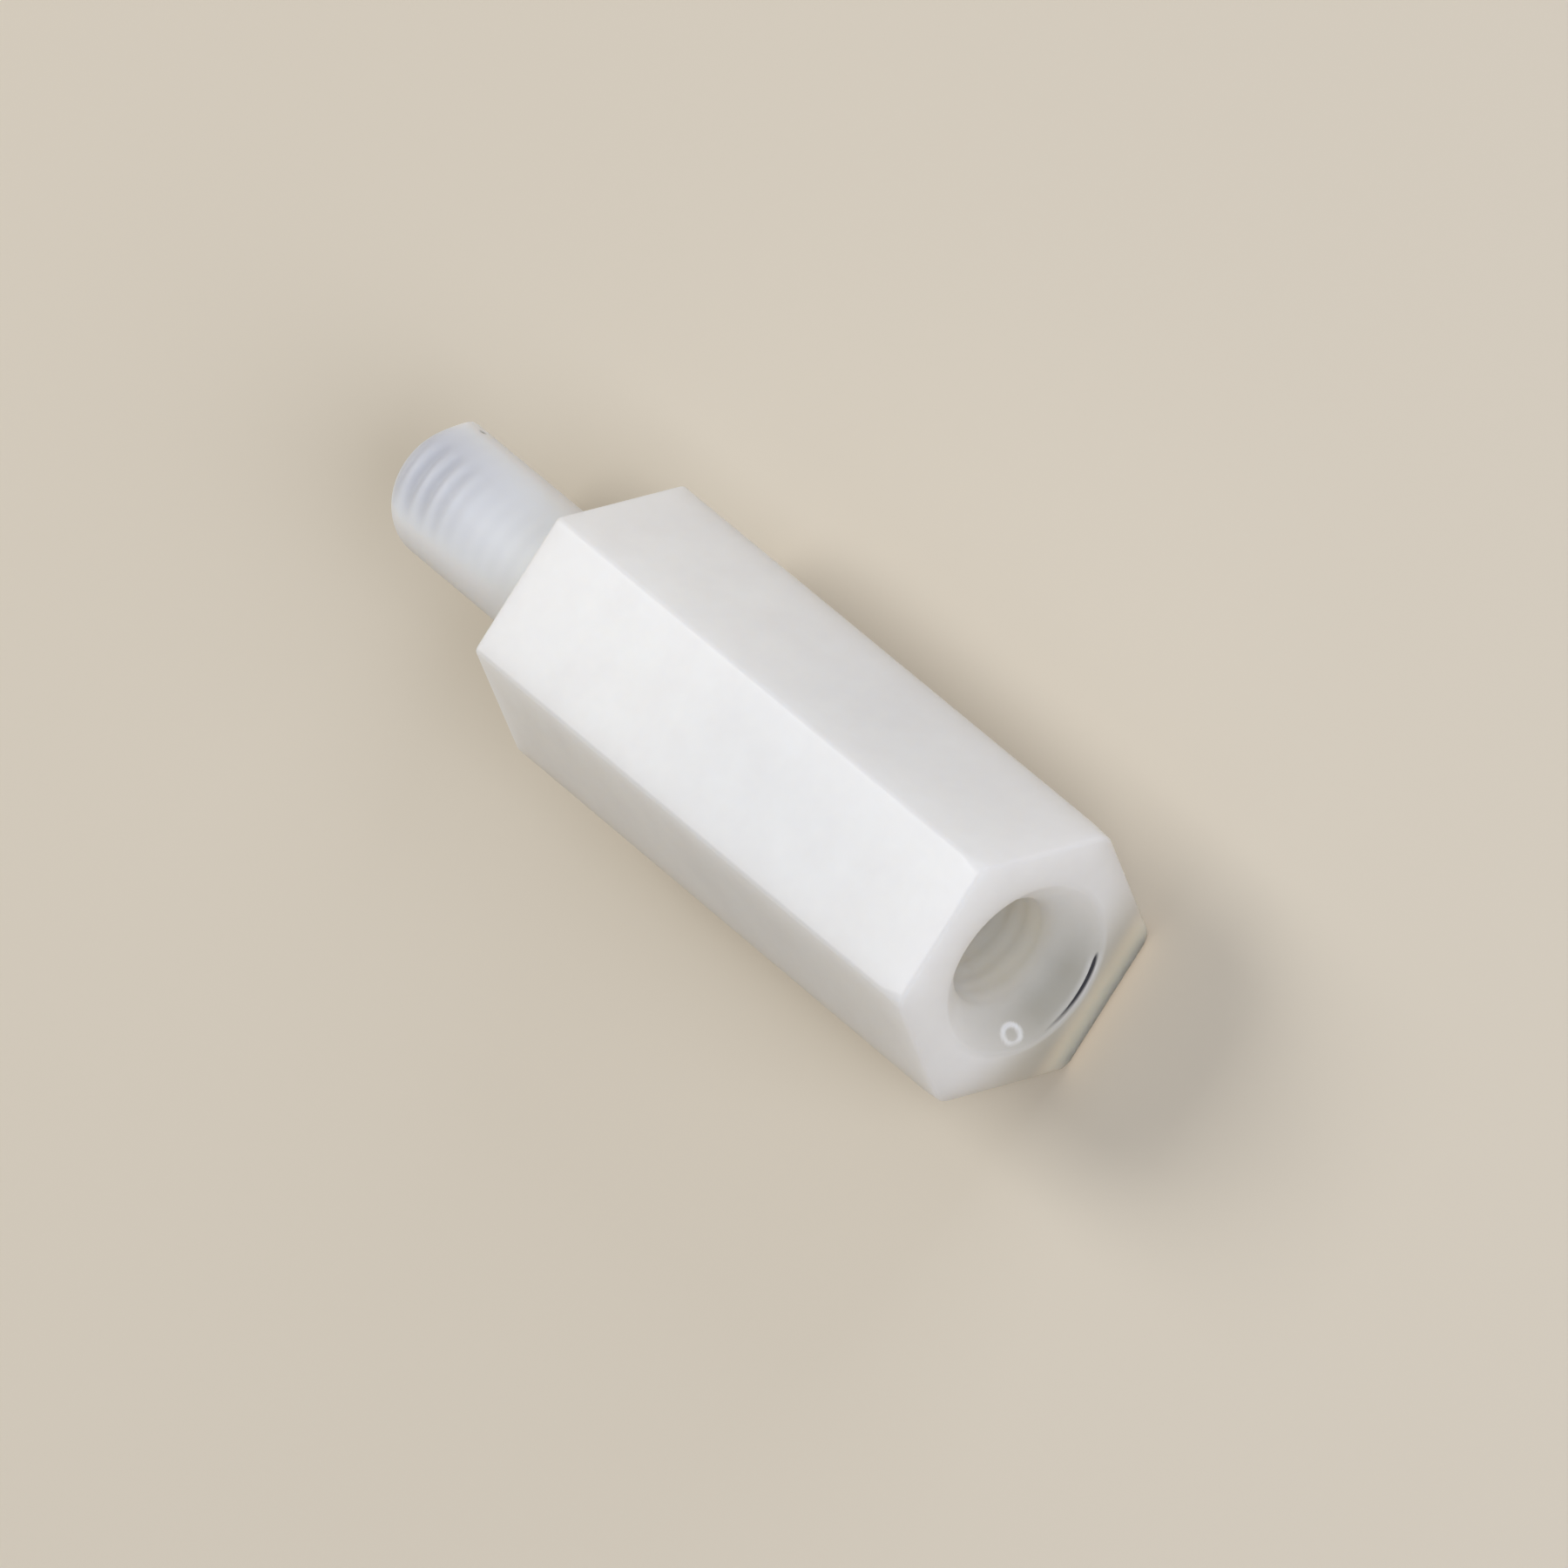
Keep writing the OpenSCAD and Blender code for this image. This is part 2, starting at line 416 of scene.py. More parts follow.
def hole_rings(size):
    """Rings of the end face and the hole, from the face's outer edge to the bottom of the hole."""
    end, slope = size.body_length, size.mouth_slope
    apothem = size.across_flats / 2 - size.tapped_edge
    bend = math.pi / 2 - slope
    rim = size.mouth_radius + size.rim_edge * math.tan(bend / 2)
    near = rim + RIM_RINGS * MOUTH_STEP
    edge = hex_outline(apothem, size.end_corner)
    for share in END_FACE:
        yield end, edge + share * (circle_outline(near) - edge)
    for radius in steps(near, rim, MOUTH_STEP):
        yield end, circle_outline(radius)
    for turn in bend * np.linspace(0, 1, ROUND_RINGS + 1)[1:]:
        radius = rim - size.rim_edge * math.sin(turn)
        yield end - size.rim_edge * (1 - math.cos(turn)), circle_outline(radius)
    cone = rim - size.rim_edge * math.sin(bend)
    throat = size.hole_radius + size.throat_edge * (1 - math.cos(slope))
    for radius in steps(cone, throat, MOUTH_STEP):
        yield end - (size.mouth_radius - radius) / math.tan(slope), circle_outline(radius)
    top = hole_top(size)
    for turn in slope * np.linspace(1, 0, ROUND_RINGS + 1)[1:]:
        radius = size.hole_radius + size.throat_edge * (1 - math.cos(turn))
        yield top + size.throat_edge * math.sin(turn), circle_outline(radius)
    bottom = hole_bottom(size)
    for x in steps(top, bottom, HOLE_STEP):
        yield x, circle_outline(size.hole_radius)
    fall = 1 / math.tan(size.hole_bottom / 2)
    for share in HOLE_CONE:
        yield bottom - (1 - share) * size.hole_radius * fall, circle_outline(share * size.hole_radius)


def skin_mesh(size):
    """The standoff's plain skin as one closed mesh, before its threads are cut."""
    rings = [*stud_rings(size), *body_rings(size), *hole_rings(size)]
    points = np.vstack([np.column_stack([np.broadcast_to(x, COLUMNS), outline]) for x, outline in rings])
    tip = (-size.stud_length, 0, 0)
    bottom = (hole_bottom(size) - size.hole_radius / math.tan(size.hole_bottom / 2), 0, 0)
    column = np.arange(COLUMNS)
    beside = (column + 1) % COLUMNS
    row = COLUMNS * np.arange(len(rings) - 1)[:, None]
    strip = [row + column, row + beside, row + COLUMNS + beside, row + COLUMNS + column]
    quads = np.stack(strip, axis=-1).reshape(-1, 4)
    last = COLUMNS * (len(rings) - 1)
    tip_index, bottom_index = len(points), len(points) + 1
    tip_fan = np.column_stack([np.full(COLUMNS, tip_index), beside, column])
    bottom_fan = np.column_stack([last + column, last + beside, np.full(COLUMNS, bottom_index)])
    mesh = bpy.data.meshes.new("standoff_skin")
    faces = [*quads.tolist(), *tip_fan.tolist(), *bottom_fan.tolist()]
    mesh.from_pydata([*points.tolist(), tip, bottom], [], faces)
    mesh.validate()
    mesh.shade_smooth()
    return mesh


def surface_sizes(size):
    """Named inputs of the tree that cuts and marks the surface: lengths, angles, shares and places."""
    slope, turn = size.mouth_slope, size.mark_turn
    depth = size.mark_in * mouth_depth(size)
    radius = size.mouth_radius - depth * math.tan(slope)
    out = (math.cos(slope), math.sin(slope) * math.cos(turn), math.sin(slope) * math.sin(turn))
    pit = (size.pit_back - size.stud_length, math.cos(size.pit_turn), math.sin(size.pit_turn))
    return {
        "Pitch": size.pitch,
        "Start": size.thread_start,
        "Stud Radius": size.stud_radius,
        "Stud Groove": size.stud_groove,
        "Stud Root": -size.root_fillet,
        "Fade From": -size.fade_from,
        "Fade To": -size.fade_to,
        "Faintest": size.faintest,
        "Seam Turn": size.seam_turn,
        "Seam Share": size.seam_share,
        "Hole Radius": size.hole_radius,
        "Hole Groove": size.hole_groove,
        "Hole Bottom": hole_bottom(size),
        "Mouth Radius": size.mouth_radius,
        "Softness": size.thread_soft,
        "Slit Radius": size.slit_radius,
        "Slit Width": size.slit_width,
        "Slit Depth": size.slit_depth,
        "Slit From": size.slit_from,
        "Slit Full": size.slit_full,
        "Slit To": size.slit_to,
        "Mark Centre": (size.body_length - depth, radius * math.cos(turn), radius * math.sin(turn)),
        "Mark Out": out,
        "Mark Radius": size.mark_radius,
        "Mark Line": size.mark_line,
        "Mark Height": size.mark_height,
        "Pit Centre": (pit[0], size.stud_radius * pit[1], size.stud_radius * pit[2]),
        "Pit Radius": size.pit_radius,
        "Pit Depth": size.pit_depth,
        "End": size.body_length,
        "Mouth Shade Turn": size.mouth_shade_turn,
        "Mouth Shade Spread": size.mouth_shade_spread,
        "Mouth Shade Full": size.mouth_shade_full,
        "Mouth Shade Reach": size.mouth_shade_reach,
        "Warm Shade Up": (0.0, math.sin(size.warm_shade_lean), math.cos(size.warm_shade_lean)),
        "Warm Shade From": -size.warm_shade_from,
        "Warm Shade Full": -size.warm_shade_full,
        "Warm Shade Reach": size.warm_shade_reach,
    }


def cut_threads(tree, given, x, across, radius, angle):
    """Adds the nodes that cut both threads. Returns the new place, and its share of a stud's groove."""
    turn = add(tree, "ShaderNodeMath", angle, 2 * math.pi, operation="DIVIDE")[0]
    along = add(tree, "ShaderNodeMath", x, given["Pitch"], operation="DIVIDE")[0]

    # Right-hand helix: 1 along the middle of the groove and 0 along the crest
    wound = add(tree, "ShaderNodeMath", along, turn, operation="SUBTRACT")[0]
    begun = add(tree, "ShaderNodeMath", wound, given["Start"], operation="ADD")[0]
    part = add(tree, "ShaderNodeMath", begun, operation="FRACT")[0]
    offset = add(tree, "ShaderNodeMath", part, 0.5, operation="SUBTRACT")[0]
    apart = add(tree, "ShaderNodeMath", offset, operation="ABSOLUTE")[0]
    groove = add(tree, "ShaderNodeMapRange", apart, *GROOVE_WALL, 1.0, 0.0, **SMOOTH)[0]

    # The stud's thread grows fainter towards the shoulder and the mould's seam
    fade = [given["Fade From"], given["Fade To"], 1.0, given["Faintest"]]
    along_share = add(tree, "ShaderNodeMapRange", x, *fade, **SMOOTH)[0]
    off_seam = add(tree, "ShaderNodeMath", angle, given["Seam Turn"], operation="SUBTRACT")[0]
    side = add(tree, "ShaderNodeMath", off_seam, operation="SINE")[0]
    from_seam = add(tree, "ShaderNodeMath", side, operation="ABSOLUTE")[0]
    growth = [SEAM_CLEAR, 1.0, given["Seam Share"], 1.0]
    round_share = add(tree, "ShaderNodeMapRange", from_seam, *growth, **SMOOTH)[0]
    stud_share = add(tree, "ShaderNodeMath", along_share, round_share, operation="MULTIPLY")[0]
    stud_groove = add(tree, "ShaderNodeMath", groove, stud_share, operation="MULTIPLY")[0]
    stud_cut = add(tree, "ShaderNodeMath", stud_groove, given["Stud Groove"], operation="MULTIPLY")[0]
    stud_limit = add(tree, "ShaderNodeMath", given["Stud Radius"], stud_cut, operation="SUBTRACT")[0]
    stud_new = add(tree, "ShaderNodeMath", radius, stud_limit, given["Softness"], operation="SMOOTH_MIN")[0]

    # The hole's thread stops short of the bottom
    above = add(tree, "ShaderNodeMath", x, given["Hole Bottom"], operation="SUBTRACT")[0]
    hole_share = add(tree, "ShaderNodeMapRange", above, *HOLE_RUN_OUT, 0.0, 1.0)[0]
    hole_groove = add(tree, "ShaderNodeMath", groove, hole_share, operation="MULTIPLY")[0]
    hole_cut = add(tree, "ShaderNodeMath", hole_groove, given["Hole Groove"], operation="MULTIPLY")[0]
    hole_limit = add(tree, "ShaderNodeMath", given["Hole Radius"], hole_cut, operation="ADD")[0]
    hole_new = add(tree, "ShaderNodeMath", radius, hole_limit, given["Softness"], operation="SMOOTH_MAX")[0]

    # Which part of the skin is the stud's side, and which is the hole's
    on_stud = add(tree, "ShaderNodeMath", x, given["Stud Root"], operation="LESS_THAN")[0]
    inside = add(tree, "ShaderNodeMath", radius, given["Mouth Radius"], operation="LESS_THAN")[0]
    hole_side = add(tree, "ShaderNodeMath", given["Hole Radius"], WALL_SKIN, operation="SUBTRACT")[0]
    beyond = add(tree, "ShaderNodeMath", radius, hole_side, operation="GREATER_THAN")[0]
    in_body = add(tree, "ShaderNodeMath", x, 0.0, operation="GREATER_THAN")[0]
    in_mouth = add(tree, "ShaderNodeMath", inside, beyond, operation="MULTIPLY")[0]
    in_hole = add(tree, "ShaderNodeMath", in_mouth, in_body, operation="MULTIPLY")[0]

    stud_or_plain = add(tree, "GeometryNodeSwitch", on_stud, radius, stud_new, input_type="FLOAT")[0]
    new_radius = add(tree, "GeometryNodeSwitch", in_hole, stud_or_plain, hole_new, input_type="FLOAT")[0]
    ratio = add(tree, "ShaderNodeMath", new_radius, radius, operation="DIVIDE")[0]
    moved = add(tree, "ShaderNodeVectorMath", across, named={"Scale": ratio}, operation="SCALE")[0]
    lengthwise = add(tree, "ShaderNodeCombineXYZ", x, 0.0, 0.0)[0]
    threaded = add(tree, "ShaderNodeVectorMath", moved, lengthwise, operation="ADD")[0]

    # The groove's shade keeps to the stud's side, off its flat tip
    outward = add(tree, "ShaderNodeMath", radius, given["Stud Radius"], operation="DIVIDE")[0]
    on_side = add(tree, "ShaderNodeMapRange", outward, *SHADED_SIDE, 0.0, 1.0)[0]
    stud_side = add(tree, "ShaderNodeMath", on_stud, on_side, operation="MULTIPLY")[0]
    return threaded, add(tree, "ShaderNodeMath", stud_groove, stud_side, operation="MULTIPLY")[0]


def cut_slit(tree, given, x, radius, angle):
    """Adds the nodes that cut the slit at the rim. Returns the move, and the shares of slit and lips."""
    opening = add(tree, "ShaderNodeMapRange", angle, given["Slit From"], given["Slit Full"], 0.0, 1.0)[0]
    closing = add(tree, "ShaderNodeMapRange", angle, given["Slit Full"], given["Slit To"], 1.0, 0.0)[0]
    taper = add(tree, "ShaderNodeMath", opening, closing, operation="MULTIPLY")[0]
    half_width = add(tree, "ShaderNodeMath", given["Slit Width"], 0.5, operation="MULTIPLY")[0]
    off_middle = add(tree, "ShaderNodeMath", radius, given["Slit Radius"], operation="SUBTRACT")[0]
    from_middle = add(tree, "ShaderNodeMath", off_middle, operation="ABSOLUTE")[0]
    gap = add(tree, "ShaderNodeMapRange", from_middle, 0.0, half_width, 1.0, 0.0, **SMOOTH)[0]
    in_body = add(tree, "ShaderNodeMath", x, 0.0, operation="GREATER_THAN")[0]
    gap_in_body = add(tree, "ShaderNodeMath", gap, in_body, operation="MULTIPLY")[0]
    slit = add(tree, "ShaderNodeMath", taper, gap_in_body, operation="MULTIPLY")[0]
    lip_edge = add(tree, "ShaderNodeMath", given["Slit Width"], LIP_REACH, operation="MULTIPLY")[0]
    lip_width = [half_width, lip_edge, LIP_CLEAR, 0.0]
    lip = add(tree, "ShaderNodeMapRange", from_middle, *lip_width, **SMOOTH)[0]
    lips = add(tree, "ShaderNodeMath", taper, lip, operation="MULTIPLY")[0]
    depth = add(tree, "ShaderNodeMath", slit, given["Slit Depth"], operation="MULTIPLY")[0]
    back = add(tree, "ShaderNodeMath", depth, -1.0, operation="MULTIPLY")[0]
    return add(tree, "ShaderNodeCombineXYZ", back, 0.0, 0.0)[0], slit, lips


def raise_mark(tree, given, place, x):
    """Adds the nodes that raise the plain ring on the countersink. Returns the move, and how high it is."""
    off = add(tree, "ShaderNodeVectorMath", place, given["Mark Centre"], operation="SUBTRACT")[0]
    out = add(tree, "ShaderNodeVectorMath", off, given["Mark Out"], operation="DOT_PRODUCT")["Value"]
    away = add(tree, "ShaderNodeVectorMath", off, operation="LENGTH")["Value"]
    far = add(tree, "ShaderNodeMath", given["Mark Radius"], MARK_REACH, operation="MULTIPLY")[0]
    close = add(tree, "ShaderNodeMath", away, far, operation="LESS_THAN")[0]
    depth = add(tree, "ShaderNodeMath", given["End"], x, operation="SUBTRACT")[0]
    on_cone = add(tree, "ShaderNodeMapRange", depth, *MARK_DEPTH, 0.0, 1.0)[0]
    allowed = add(tree, "ShaderNodeMath", close, on_cone, operation="MULTIPLY")[0]

    # The ring, which is a little higher on its inner side
    off_ring = add(tree, "ShaderNodeMath", away, given["Mark Radius"], operation="SUBTRACT")[0]
    from_ring = add(tree, "ShaderNodeMath", off_ring, operation="ABSOLUTE")[0]
    half_line = add(tree, "ShaderNodeMath", given["Mark Line"], 0.5, operation="MULTIPLY")[0]
    flat_line = add(tree, "ShaderNodeMath", half_line, MARK_FLAT, operation="MULTIPLY")[0]
    line = add(tree, "ShaderNodeMapRange", from_ring, flat_line, half_line, 1.0, 0.0, **SMOOTH)[0]
    inner = add(tree, "ShaderNodeMath", given["Mark Radius"], MARK_SIDES[0], operation="MULTIPLY")[0]
    outer = add(tree, "ShaderNodeMath", given["Mark Radius"], MARK_SIDES[1], operation="MULTIPLY")[0]
    strength = add(tree, "ShaderNodeMapRange", out, inner, outer, *MARK_HEIGHTS)[0]
    ring = add(tree, "ShaderNodeMath", line, strength, operation="MULTIPLY")[0]
    mark = add(tree, "ShaderNodeMath", ring, allowed, operation="MULTIPLY")[0]
    height = add(tree, "ShaderNodeMath", mark, given["Mark Height"], operation="MULTIPLY")[0]
    normal = add(tree, "GeometryNodeInputNormal")[0]
    return add(tree, "ShaderNodeVectorMath", normal, named={"Scale": height}, operation="SCALE")[0], mark


def sink_pit(tree, given, place):
    """Adds the nodes that sink the small pit beside the nub. Returns the move, and how deep in it is."""
    away = add(tree, "ShaderNodeVectorMath", place, given["Pit Centre"], operation="DISTANCE")["Value"]
    pit = add(tree, "ShaderNodeMapRange", away, 0.0, given["Pit Radius"], 1.0, 0.0, **SMOOTH)[0]
    depth = add(tree, "ShaderNodeMath", pit, given["Pit Depth"], operation="MULTIPLY")[0]
    inward = add(tree, "ShaderNodeMath", depth, -1.0, operation="MULTIPLY")[0]
    normal = add(tree, "GeometryNodeInputNormal")[0]
    return add(tree, "ShaderNodeVectorMath", normal, named={"Scale": inward}, operation="SCALE")[0], pit


def paint_mouth_shade(tree, given, place, x, radius, angle, lips):
    """Adds the nodes that find where shade is painted round the mouth. Returns the shares of painted shade
    in the mouth, of warm painted shade low on the end face, and of painted shade in the hole.
    """
    # Painted shade on the lower side of the mouth, where the upper wall keeps the light off, lighter on the
    # slit's lips
    turned = add(tree, "ShaderNodeMath", angle, given["Mouth Shade Turn"], operation="SUBTRACT")[0]
    off_lowest = add(tree, "ShaderNodeMath", turned, math.pi, -math.pi, operation="WRAP")[0]
    from_lowest = add(tree, "ShaderNodeMath", off_lowest, operation="ABSOLUTE")[0]
    whole = add(tree, "ShaderNodeMath", given["Mouth Shade Spread"], MOUTH_SHADE_WHOLE, operation="MULTIPLY")[0]
    low = add(tree, "ShaderNodeMapRange", from_lowest, whole, given["Mouth Shade Spread"], 1.0, 0.0)[0]
    depth = add(tree, "ShaderNodeMath", given["End"], x, operation="SUBTRACT")[0]
    reach = [given["Mouth Shade Full"], given["Mouth Shade Reach"], 1.0, 0.0]
    shallow = add(tree, "ShaderNodeMapRange", depth, *reach, **SMOOTH)[0]
    edge = add(tree, "ShaderNodeMath", given["Mouth Radius"], MOUTH_SHADE_EDGE, operation="ADD")[0]
    inside = add(tree, "ShaderNodeMapRange", radius, given["Mouth Radius"], edge, 1.0, 0.0)[0]
    low_inside = add(tree, "ShaderNodeMath", low, inside, operation="MULTIPLY")[0]
    mouth_shaded = add(tree, "ShaderNodeMath", low_inside, shallow, operation="MULTIPLY")[0]
    unshaded = add(tree, "ShaderNodeMath", 1.0, lips, operation="SUBTRACT")[0]
    painted_mouth_shade = add(tree, "ShaderNodeMath", mouth_shaded, unshaded, operation="MULTIPLY")[0]

    # The painted warm shade lies low on the end face, outside the mouth
    height = add(tree, "ShaderNodeVectorMath", place, given["Warm Shade Up"], operation="DOT_PRODUCT")["Value"]
    fall = [given["Warm Shade From"], given["Warm Shade Full"], 0.0, 1.0]
    lowest = add(tree, "ShaderNodeMapRange", height, *fall, **SMOOTH)[0]
    near_end = add(tree, "ShaderNodeMapRange", depth, 0.0, given["Warm Shade Reach"], 1.0, 0.0)[0]
    outside = add(tree, "ShaderNodeMath", 1.0, inside, operation="SUBTRACT")[0]
    outer_low = add(tree, "ShaderNodeMath", lowest, outside, operation="MULTIPLY")[0]
    painted_warm_shade = add(tree, "ShaderNodeMath", outer_low, near_end, operation="MULTIPLY")[0]

    # The painted shade in the hole is warmer the deeper and the lower it lies
    deep = add(tree, "ShaderNodeMapRange", depth, given["Mouth Shade Full"], HOLE_SHADE_DEPTH, 0.0, 1.0)[0]
    in_body = add(tree, "ShaderNodeMath", x, 0.0, operation="GREATER_THAN")[0]
    deep_inside = add(tree, "ShaderNodeMath", deep, inside, operation="MULTIPLY")[0]
    deep_in_body = add(tree, "ShaderNodeMath", deep_inside, in_body, operation="MULTIPLY")[0]
    z = add(tree, "ShaderNodeSeparateXYZ", place)[2]
    bottom = add(tree, "ShaderNodeMapRange", z, *HOLE_SHADE_FALL, *HOLE_SHADE_SHARE)[0]
    return painted_mouth_shade, painted_warm_shade, add(tree, "ShaderNodeMath", deep_in_body, bottom, operation="MULTIPLY")[0]


def surface_tree(sizes):
    """Geometry nodes that cut the threads, slit and pit in the skin, and raise the ring mark on it."""
    tree = bpy.data.node_groups.new("standoff_surface", "GeometryNodeTree")
    kinds = {"Skin": "NodeSocketGeometry"}
    for name, value in sizes.items():
        kinds[name] = "NodeSocketVector" if isinstance(value, tuple) else "NodeSocketFloat"
    kinds["Nylon"] = "NodeSocketMaterial"
    keys = {}
    for name, kind in kinds.items():
        keys[name] = tree.interface.new_socket(name, in_out="INPUT", socket_type=kind).identifier
    tree.interface.new_socket("Standoff", in_out="OUTPUT", socket_type="NodeSocketGeometry")
    given = add(tree, "NodeGroupInput")

    # Place along the axis, offset from it, distance from it and turn round it
    place = add(tree, "GeometryNodeInputPosition")[0]
    x, y, z = add(tree, "ShaderNodeSeparateXYZ", place)
    across = add(tree, "ShaderNodeCombineXYZ", 0.0, y, z)[0]
    radius = add(tree, "ShaderNodeVectorMath", across, operation="LENGTH")["Value"]
    angle = add(tree, "ShaderNodeMath", z, y, operation="ARCTAN2")[0]

    threaded, groove = cut_threads(tree, given, x, across, radius, angle)
    slit_move, slit, lips = cut_slit(tree, given, x, radius, angle)
    mark_move, mark = raise_mark(tree, given, place, x)
    pit_move, pit = sink_pit(tree, given, place)
    painted_mouth_shade, painted_warm_shade, painted_hole_shade = paint_mouth_shade(tree, given, place, x, radius, angle, lips)
    skin = given["Skin"]
    shares = {
        "groove": groove,
        "slit": slit,
        "mark": mark,
        "pit": pit,
        "painted_mouth_shade": painted_mouth_shade,
        "painted_warm_shade": painted_warm_shade,
        "painted_hole_shade": painted_hole_shade,
    }
    for name, value in shares.items():
        skin = add(tree, "GeometryNodeStoreNamedAttribute", skin, None, name, value)[0]
    mouth_moves = add(tree, "ShaderNodeVectorMath", slit_move, mark_move, operation="ADD")[0]
    moves = add(tree, "ShaderNodeVectorMath", mouth_moves, pit_move, operation="ADD")[0]
    shaped = add(tree, "GeometryNodeSetPosition", skin, None, threaded, moves)[0]
    whole = add(tree, "GeometryNodeRealizeInstances", shaped)[0]
    finished = add(tree, "GeometryNodeSetMaterial", whole, None, given["Nylon"])[0]
    add(tree, "NodeGroupOutput", finished)
    return tree, keys


def nylon_material(finish):
    """Natural nylon, moulded: milky and a little see-through, so light softens under a satin skin."""
    material = bpy.data.materials.new("moulded_natural_nylon")
    material.use_nodes = True
    tree = material.node_tree
    tree.nodes.clear()
    place = add(tree, "ShaderNodeTexCoord")["Object"]
    x, _, z = add(tree, "ShaderNodeSeparateXYZ", place)

    # Faint clouds about 1.5 mm across, where the melt cooled unevenly
    cloud_width = 1.5 * MM
    clouds = add(tree, "ShaderNodeTexNoise", place, None, 1 / cloud_width, 3.0, 0.55)[0]
    cloudy = add(tree, "ShaderNodeMapRange", clouds, 0.25, 0.75, 0.0, 1.0)[0]
    whites = {MIX_SHARE: cloudy, MIX_UNDER: (*finish.nylon, 1), MIX_OVER: (*finish.cloud, 1)}
    body = add(tree, "ShaderNodeMix", named=whites, data_type="RGBA")[MIXED]

    # The thin stud gets a cooler, brighter white than the thick body, painted light for the light that
    # passes through it, and painted shade along its top, most of all near its tip
    lean = math.radians(70)
    grey_height = (0.75 * MM, 1.4 * MM)
    grey_run = (-0.5 * MM, -5.0 * MM)
    grey_share = (0.05, 0.85)
    upward = (0.0, math.cos(lean), math.sin(lean))
    height = add(tree, "ShaderNodeVectorMath", place, upward, operation="DOT_PRODUCT")["Value"]
    topmost = add(tree, "ShaderNodeMapRange", height, *grey_height, 0.0, 1.0)[0]
    outer = add(tree, "ShaderNodeMapRange", x, *grey_run, *grey_share)[0]
    painted_top_shade = add(tree, "ShaderNodeMath", topmost, outer, operation="MULTIPLY")[0]
    cools = {MIX_SHARE: painted_top_shade, MIX_UNDER: (*finish.stud, 1), MIX_OVER: (*finish.thin, 1)}
    stud = add(tree, "ShaderNodeMix", named=cools, data_type="RGBA")[MIXED]
    blend = 0.6 * MM
    thin = add(tree, "ShaderNodeMapRange", x, blend, -blend, 0.0, 1.0, **SMOOTH)[0]
    main_parts = {MIX_SHARE: thin, MIX_UNDER: body, MIX_OVER: stud}
    coloured = add(tree, "ShaderNodeMix", named=main_parts, data_type="RGBA")[MIXED]

    # The painted warm shade turns to painted warm floor light towards the lowest edge
    bounce_light_height = (-1.9 * MM, -2.7 * MM)
    lowest = add(tree, "ShaderNodeMapRange", z, *bounce_light_height, 0.0, 1.0, **SMOOTH)[0]
    tans = {MIX_SHARE: lowest, MIX_UNDER: (*finish.painted_warm_shade, 1), MIX_OVER: (*finish.painted_bounce_light, 1)}
    tan = add(tree, "ShaderNodeMix", named=tans, data_type="RGBA")[MIXED]

    # Painted shade in the hole, low on the end face and in the mouth, then the grooves' shade, the slit's
    # painted shade, the pit's shade and the ring mark's painted highlight
    shares = {}
    for name in ("painted_hole_shade", "painted_warm_shade", "painted_mouth_shade", "groove", "slit", "pit", "mark"):
        shares[name] = add(tree, "ShaderNodeAttribute", attribute_name=name)["Fac"]
    painted_mouth_shade = shares["painted_mouth_shade"]
    groove_shade = 0.45
    # The slit's share sets where its painted shade lies
    slit_shade_range = (0.1, 0.5)
    shares["groove"] = add(tree, "ShaderNodeMath", shares["groove"], groove_shade, operation="MULTIPLY")[0]
    shares["slit"] = add(tree, "ShaderNodeMapRange", shares["slit"], *slit_shade_range, 0.0, 1.0)[0]
    for name, share in shares.items():
        over = tan if name == "painted_warm_shade" else (*getattr(finish, name), 1)
        layer = {MIX_SHARE: share, MIX_UNDER: coloured, MIX_OVER: over}
        coloured = add(tree, "ShaderNodeMix", named=layer, data_type="RGBA")[MIXED]

    # Fine moulded grain, drawn at 0.12 mm so that it shows, over slow waves about 2 mm long
    grain_width = 0.12 * MM
    wave_width = 2.0 * MM
    grain = add(tree, "ShaderNodeTexNoise", place, None, 1 / grain_width, 2.0, 0.5)[0]
    waves = add(tree, "ShaderNodeTexNoise", place, None, 1 / wave_width, 1.0, 0.4)[0]
    slow = {"Strength": 0.12, "Distance": 0.05 * MM, "Height": waves}
    waved = add(tree, "ShaderNodeBump", named=slow)[0]
    fine = {"Strength": 0.1, "Distance": 0.006 * MM, "Height": grain, "Normal": waved}
    bumped = add(tree, "ShaderNodeBump", named=fine)[0]
    satin = (0.36, 0.44)
    rough = add(tree, "ShaderNodeMapRange", grain, *NOISE_RANGE, *satin)[0]

    # The stud and the lower side of the mouth, under its painted shade, are duller, and light spreads less
    # far in the stud
    stud_dull, mouth_shade_dull = 0.14, 0.35
    body_spread, stud_spread = 3.0 * MM, 0.5 * MM
    dull_stud = add(tree, "ShaderNodeMath", thin, stud_dull, rough, operation="MULTIPLY_ADD")[0]
    dulled = add(tree, "ShaderNodeMath", painted_mouth_shade, mouth_shade_dull, dull_stud, operation="MULTIPLY_ADD")[0]
    depth = add(tree, "ShaderNodeMapRange", thin, 0.0, 1.0, body_spread, stud_spread)[0]
    surface = add(
        tree,
        "ShaderNodeBsdfPrincipled",
        named={
            "Base Color": coloured,
            "Roughness": dulled,
            "IOR": 1.53,
            "Normal": bumped,
            "Subsurface Weight": 1.0,
            "Subsurface Radius": (1.0, 0.94, 0.86),
            "Subsurface Scale": depth,
        },
    )[0]
    add(tree, "ShaderNodeOutputMaterial", surface)
    return material


